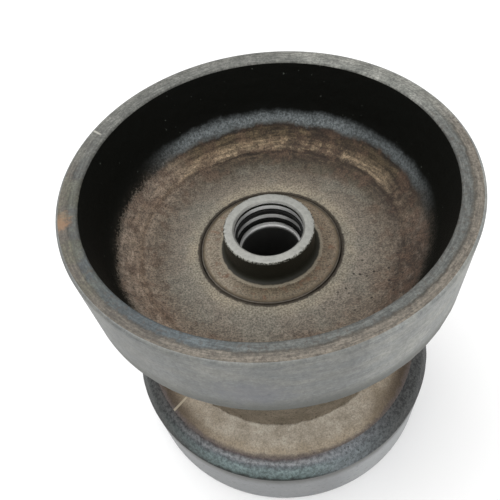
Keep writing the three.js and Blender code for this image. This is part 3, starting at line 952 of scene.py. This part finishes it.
class Pattern:
    """A Geometry Nodes tree with named inputs, ending in real geometry with its material."""

    def __init__(self, name, **inputs):
        self.name = name
        self.tree = bpy.data.node_groups.new(name, "GeometryNodeTree")
        self.tree.interface.new_socket("Geometry", in_out="OUTPUT", socket_type="NodeSocketGeometry")
        self.settings = {}
        for label, value in inputs.items():
            kind = "NodeSocketInt" if isinstance(value, int) else "NodeSocketFloat"
            item = self.tree.interface.new_socket(label, in_out="INPUT", socket_type=kind)
            self.settings[item.identifier] = value
        self.given = self.tree.nodes.new("NodeGroupInput").outputs

    def add(self, kind, *values, mode=None, **named):
        node = self.tree.nodes.new(kind)
        if mode:
            node.operation = mode
        pairs = [*zip(node.inputs, values), *((node.inputs[k], value) for k, value in named.items())]
        for socket, value in pairs:
            if isinstance(value, bpy.types.NodeSocket):
                self.tree.links.new(value, socket)
            elif value is not None:
                socket.default_value = value
        return node.outputs[0]

    def math(self, operation, a, b=None):
        return self.add("ShaderNodeMath", a, b, mode=operation)

    def times(self, a, b):
        return self.math("MULTIPLY", a, b)

    def grow(self, geometry, finish):
        whole = self.add("GeometryNodeRealizeInstances", geometry)
        whole = self.add("GeometryNodeSetMaterial", whole, Material=FINISHES[finish])
        self.tree.links.new(whole, self.tree.nodes.new("NodeGroupOutput").inputs[0])
        piece = placed(self.name, bpy.data.meshes.new(self.name))
        modifier = piece.modifiers.new("pattern", "NODES")
        modifier.node_group = self.tree
        for identifier, value in self.settings.items():
            modifier[identifier] = value
        return settled(piece)


def rollers(end):
    """The needle rollers of one bearing, each a bar with rounded ends, set round the pitch circle."""
    nodes = [f"{end}_roller_{number:02d}" for number in range(1, ROLLERS + 1)]
    low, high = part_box(nodes[0])
    middle = (low + high) / 2
    pattern = Pattern(
        f"{end}_needle_rollers",
        count=ROLLERS,
        pitch_radius=math.hypot(middle.x, middle.y),
        phase=math.atan2(middle.y, middle.x),
        height=middle.z,
        roller_radius=ROLLER_RADIUS,
        half_length=(high.z - low.z) / 2,
        end_round=ROLLER_END_ROUND,
    )
    count, pitch, phase, height, radius, half, end_round = list(pattern.given)[:7]
    line = pattern.add("GeometryNodeCurvePrimitiveLine", (0, 0, -1), (0, 0, 1))
    line = pattern.add("GeometryNodeResampleCurve", line, None, 24)
    along = pattern.add("GeometryNodeSplineParameter")
    swing = pattern.math("SINE", pattern.times(pattern.math("SUBTRACT", along, 0.5), math.pi))
    rise = pattern.times(swing, half)
    risen = pattern.add("ShaderNodeCombineXYZ", 0.0, 0.0, rise)
    line = pattern.add("GeometryNodeSetPosition", line, None, risen)
    from_end = pattern.math("SUBTRACT", half, pattern.math("ABSOLUTE", rise))
    left = pattern.math("MINIMUM", from_end, end_round)
    short = pattern.math("POWER", pattern.math("SUBTRACT", end_round, left), 2.0)
    bulge = pattern.math("SQRT", pattern.math("SUBTRACT", pattern.math("POWER", end_round, 2.0), short))
    girth = pattern.math("ADD", pattern.math("SUBTRACT", radius, end_round), bulge)
    circle = pattern.add("GeometryNodeCurvePrimitiveCircle", 32, Radius=1.0)
    bar = pattern.add("GeometryNodeCurveToMesh", line, circle, girth, True)
    points = pattern.add("GeometryNodeMeshCircle", count, pitch)
    bars = pattern.add("GeometryNodeInstanceOnPoints", points, None, bar)
    place = pattern.add("ShaderNodeCombineXYZ", 0.0, 0.0, height)
    turn = pattern.add("ShaderNodeCombineXYZ", 0.0, 0.0, phase)
    bars = pattern.add("GeometryNodeTransform", bars, place, turn)
    return finished(pattern.grow(bars, "race_steel"), "bearing_steel", f"{end}_cage", *nodes)


def garter_spring(end):
    """The wound ring spring that closes the oil seal's lip."""
    low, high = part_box(f"{end}_seal_spring")
    size = (high.z - low.z) / 2
    pattern = Pattern(
        f"{end}_garter_spring",
        points=SPRING_COILS * POINTS_PER_COIL,
        coils=float(SPRING_COILS),
        ring_radius=high.x - size,
        coil_radius=size - SPRING_WIRE,
        wire_radius=SPRING_WIRE,
        height=(low.z + high.z) / 2,
    )
    points, coils, ring, coil, thick, height = list(pattern.given)[:6]
    path = pattern.add("GeometryNodeCurvePrimitiveCircle", points, Radius=ring)
    along = pattern.add("GeometryNodeSplineParameter")
    angle = pattern.times(pattern.times(along, coils), 2 * math.pi)
    position = pattern.add("GeometryNodeInputPosition")
    outward = pattern.add("ShaderNodeVectorMath", position, mode="NORMALIZE")
    reach = pattern.times(pattern.math("COSINE", angle), coil)
    rise = pattern.math("ADD", pattern.times(pattern.math("SINE", angle), coil), height)
    outward = pattern.add("ShaderNodeVectorMath", outward, mode="SCALE", Scale=reach)
    upward = pattern.add("ShaderNodeCombineXYZ", 0.0, 0.0, rise)
    outward = pattern.add("ShaderNodeVectorMath", outward, upward, mode="ADD")
    path = pattern.add("GeometryNodeSetPosition", path, Offset=outward)
    section = pattern.add("GeometryNodeCurvePrimitiveCircle", 6, Radius=thick)
    spring = pattern.add("GeometryNodeCurveToMesh", path, section)
    return finished(pattern.grow(spring, "race_steel"), "spring_steel", "shell", f"{end}_seal_spring")


def cage(end):
    """The brass cage: a ring with a pocket for each roller, its edges eased."""
    low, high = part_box(f"{end}_roller_cage")
    first = sum(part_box(f"{end}_roller_01"), Vector()) / 2
    phase = math.atan2(first.y, first.x)
    half_pocket = math.asin(POCKET_HALF_WIDTH / math.hypot(first.x, first.y))
    half_pitch = math.pi / ROLLERS
    pocket_low, pocket_high = (first.z + side * POCKET_HALF_HEIGHT for side in (-1, 1))
    heights = (low.z, pocket_low, pocket_high, high.z)
    angles, open_columns = [], []
    for number in range(ROLLERS):
        start = phase + 2 * half_pitch * number
        for begin, stop, steps, is_open in (
            (-half_pitch, -half_pocket, 3, False),
            (-half_pocket, half_pocket, 4, True),
            (half_pocket, half_pitch, 3, False),
        ):
            angles += [start + begin + (stop - begin) * k / steps for k in range(steps)]
            open_columns += [is_open] * steps
    count = len(angles)
    points = [
        (radius * math.cos(angle), radius * math.sin(angle), height)
        for angle in angles
        for height in heights
        for radius in (high.x, CAGE_BORE)
    ]

    def corner(column, row, side):
        return (column % count * 4 + row) * 2 + side

    def is_solid(column, row):
        return 0 <= row <= 2 and not (row == 1 and open_columns[column % count])

    faces = []
    for column in range(count):
        for row in range(3):
            if not is_solid(column, row):
                continue
            here, over, above = column, column + 1, row + 1
            walls = [
                ((here, row, side), (over, row, side), (over, above, side), (here, above, side))
                for side in (0, 1)
            ]
            for step, level in ((-1, row), (1, above)):
                if not is_solid(column, row + step):
                    walls.append(((here, level, 0), (over, level, 0), (over, level, 1), (here, level, 1)))
            for step, edge in ((-1, here), (1, over)):
                if not is_solid(column + step, row):
                    walls.append(((edge, row, 0), (edge, above, 0), (edge, above, 1), (edge, row, 1)))
            faces += [[corner(*spot) for spot in wall] for wall in walls]
    mesh = bpy.data.meshes.new(f"{end}_pocket_cage")
    mesh.from_pydata(points, [], faces)
    work = bmesh.new()
    work.from_mesh(mesh)
    bmesh.ops.recalc_face_normals(work, faces=work.faces)
    work.to_mesh(mesh)
    work.free()
    mesh.materials.append(FINISHES["brass"])
    piece = placed(f"{end}_pocket_cage", mesh)
    ease_edges(piece, 0.2 * MM)
    return finished(settled(piece), "cage_brass", f"{end}_cage", f"{end}_roller_cage")


def ease_edges(piece, width):
    bevel = piece.modifiers.new("eased_edges", "BEVEL")
    bevel.width = width
    bevel.segments = 2
    bevel.limit_method = "ANGLE"
    bevel.angle_limit = math.radians(40)


def sleeve():
    """The inner sleeve, with a grease hole through each wall at mid-length."""
    corners = [
        (SLEEVE_RADIUS, SLEEVE_START, 0.6 * MM, "race_steel"),
        (SLEEVE_RADIUS, SLEEVE_END, 0.6 * MM, "race_steel"),
        (SLEEVE_BORE, SLEEVE_END, 0.6 * MM, "sleeve"),
        (SLEEVE_BORE, SLEEVE_START, 0.6 * MM, "sleeve"),
    ]
    tube = turned("greased_sleeve", "lower", corners, RING_STEPS)
    drill = bmesh.new()
    place = Matrix.Translation((0, 0, ROLLER_LENGTH / 2)) @ Matrix.Rotation(math.pi / 2, 4, "X")
    bmesh.ops.create_cone(
        drill,
        cap_ends=True,
        segments=48,
        radius1=GREASE_HOLE_RADIUS,
        radius2=GREASE_HOLE_RADIUS,
        depth=4 * SLEEVE_RADIUS,
        matrix=place,
    )
    mesh = bpy.data.meshes.new("drill")
    drill.to_mesh(mesh)
    drill.free()
    mesh.materials.append(FINISHES["sleeve"])
    cutter = placed("drill", mesh)
    cut = tube.modifiers.new("grease_holes", "BOOLEAN")
    cut.operation = "DIFFERENCE"
    cut.solver = "EXACT"
    cut.object = cutter
    ease_edges(tube, 0.15 * MM)
    return finished(settled(tube, cutter), "ring_steel", "sleeve", "inner_sleeve")


# ---- setting

def stage_and_light():
    floor = bpy.data.meshes.new("pale_floor")
    reach = 30 * TREAD_RADIUS
    level = -0.2 * MM
    corners = [(x * reach, y * reach, level) for x, y in ((-1, -1), (1, -1), (1, 1), (-1, 1))]
    floor.from_pydata(corners, [], [(0, 1, 2, 3)])
    piece = placed("pale_floor", floor)
    f = Finish("pale_paper", roughness=0.9, specular=0.1)
    floor.materials.append(f.set(color=f.ramp(f.noise(400, 2), [(0, (0.93,) * 3), (1, (0.96,) * 3)])))
    below = f.tree.nodes.new("ShaderNodeNewGeometry").outputs["Backfacing"]
    scattered = f.tree.nodes.new("ShaderNodeLightPath").outputs["Is Diffuse Ray"]
    f.put(f.shader.inputs["Alpha"], f.math("SUBTRACT", 1, f.math("MAXIMUM", below, scattered)))
    world = bpy.data.worlds.new("studio")
    bpy.context.scene.world = world
    world.use_nodes = True
    world.node_tree.nodes["Background"].inputs["Color"].default_value = (1, 1, 1, 1)
    world.node_tree.nodes["Background"].inputs["Strength"].default_value = 0.95
    for name, place, size, power in (
        ("overhead_softbox", (-0.35, 0.25, 1.3), 1.1, 9.0),
        ("front_softbox", (0.5, -1.1, 1.0), 0.9, 4.0),
    ):
        data = bpy.data.lights.new(name, "AREA")
        data.size = size
        data.energy = power
        aim = Vector((0, 0, ROLLER_LENGTH / 2)) - Vector(place)
        turn = aim.to_track_quat("-Z", "Y").to_matrix()
        placed(name, data).matrix_world = Matrix.Translation(place) @ turn.to_4x4()
    bpy.context.scene.view_settings.view_transform = "Standard"


def camera():
    """Looks down into the upper cup from the front, slightly rolled."""
    distance, elevation, roll = 2.616 * TREAD_RADIUS, math.radians(43.57), math.radians(6.32)
    lens_share = 1.0828
    aim_right, aim_down = 0.0332, -0.2165
    shift = (0.0101, 0.0827)
    back = Vector((0, -math.cos(elevation), math.sin(elevation)))
    right = Vector((1, 0, 0))
    up = back.cross(right)
    level = Matrix((right, up, back))
    tilt = Matrix.Rotation(roll, 3, "Z")
    ray = Vector((aim_right, -aim_down, -1)).normalized()
    swing = Vector((0, 0, -1)).rotation_difference(ray).to_matrix()
    turn = (swing @ tilt @ level).transposed()
    data = bpy.data.cameras.new("camera")
    data.lens = data.sensor_width * lens_share
    data.shift_x, data.shift_y = shift
    eye = placed("camera", data)
    place = back * distance + Vector((0, 0, ROLLER_LENGTH))
    eye.matrix_world = Matrix.Translation(place) @ turn.to_4x4()
    bpy.context.scene.camera = eye


camera()
stage_and_light()
for end in ENDS:
    for make in (drum, hub, dust_seal, oil_seal, washer, bearing_cup, garter_spring, o_ring, cage, rollers):
        make(end)
sleeve()
